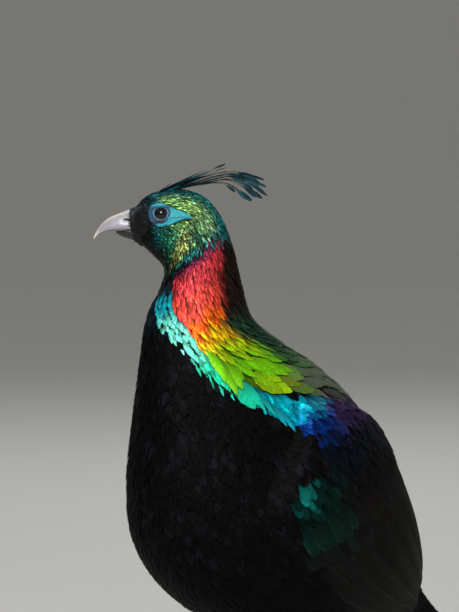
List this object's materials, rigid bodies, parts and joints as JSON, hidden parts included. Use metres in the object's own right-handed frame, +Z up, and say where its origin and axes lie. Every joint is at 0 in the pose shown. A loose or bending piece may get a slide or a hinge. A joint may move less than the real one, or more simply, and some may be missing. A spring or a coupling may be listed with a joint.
{
  "type": "himalayan monal figure",
  "caption": "Life-size standing male himalayan monal with an upright body, a head turned to its right, a plumed crest, folded wings and a broad tail.",
  "frame": {"origin": "on the floor under the middle of the bounding box", "axes": "+Z up, the body faces -X, the bird's left side is -Y"},
  "size_m": [0.4818, 0.188, 0.5314],
  "materials": {
    "head_plumage": "scale-like feathers with a metallic green sheen",
    "neck_plumage": "iridescent feathers, coppery red to green",
    "body_plumage": "velvety black feathers",
    "wing_plumage": "blue and green glossy coverts over dark flight feathers",
    "tail_plumage": "matt cinnamon feathers",
    "bill_horn": "satin grey horn",
    "eye_gloss": "wet gloss, dark brown",
    "leg_scales": "dull scaled skin"
  },
  "bodies": {
    "root": {"head": "head_plumage", "bill_upper": "bill_horn", "bill_lower": "bill_horn", "eye_left": "eye_gloss", "eye_right": "eye_gloss", "neck": "neck_plumage", "torso": "body_plumage", "wing_left": "wing_plumage", "wing_right": "wing_plumage", "tail": "tail_plumage", "thigh_left": "body_plumage", "thigh_right": "body_plumage", "shank_left": "leg_scales", "shank_right": "leg_scales", "foot_left": "leg_scales", "foot_right": "leg_scales"}
  },
  "joints": []
}
